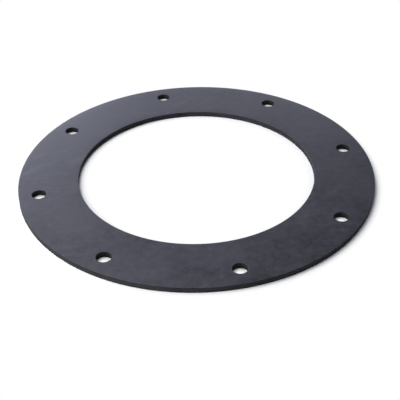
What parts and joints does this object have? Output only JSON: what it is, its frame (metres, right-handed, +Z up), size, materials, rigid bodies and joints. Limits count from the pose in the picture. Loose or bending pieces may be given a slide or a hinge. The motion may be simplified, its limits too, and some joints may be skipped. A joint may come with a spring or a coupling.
{
  "type": "flange gasket",
  "caption": "Flat round full-face gasket of black sheet rubber, with a large central bore and a circle of bolt holes near its outer edge.",
  "frame": {"origin": "centre of the bore on the underside, the face that it rests on", "axes": "+Z up along the bore, from the underside to the upper face; +X from the bore's centre through the first bolt hole; +Y completes a right-handed frame"},
  "size_m": [0.18, 0.18, 0.003],
  "materials": {
    "rubber": "matte, as calendered sheet"
  },
  "bodies": {
    "root": {"gasket": "rubber"}
  },
  "joints": []
}
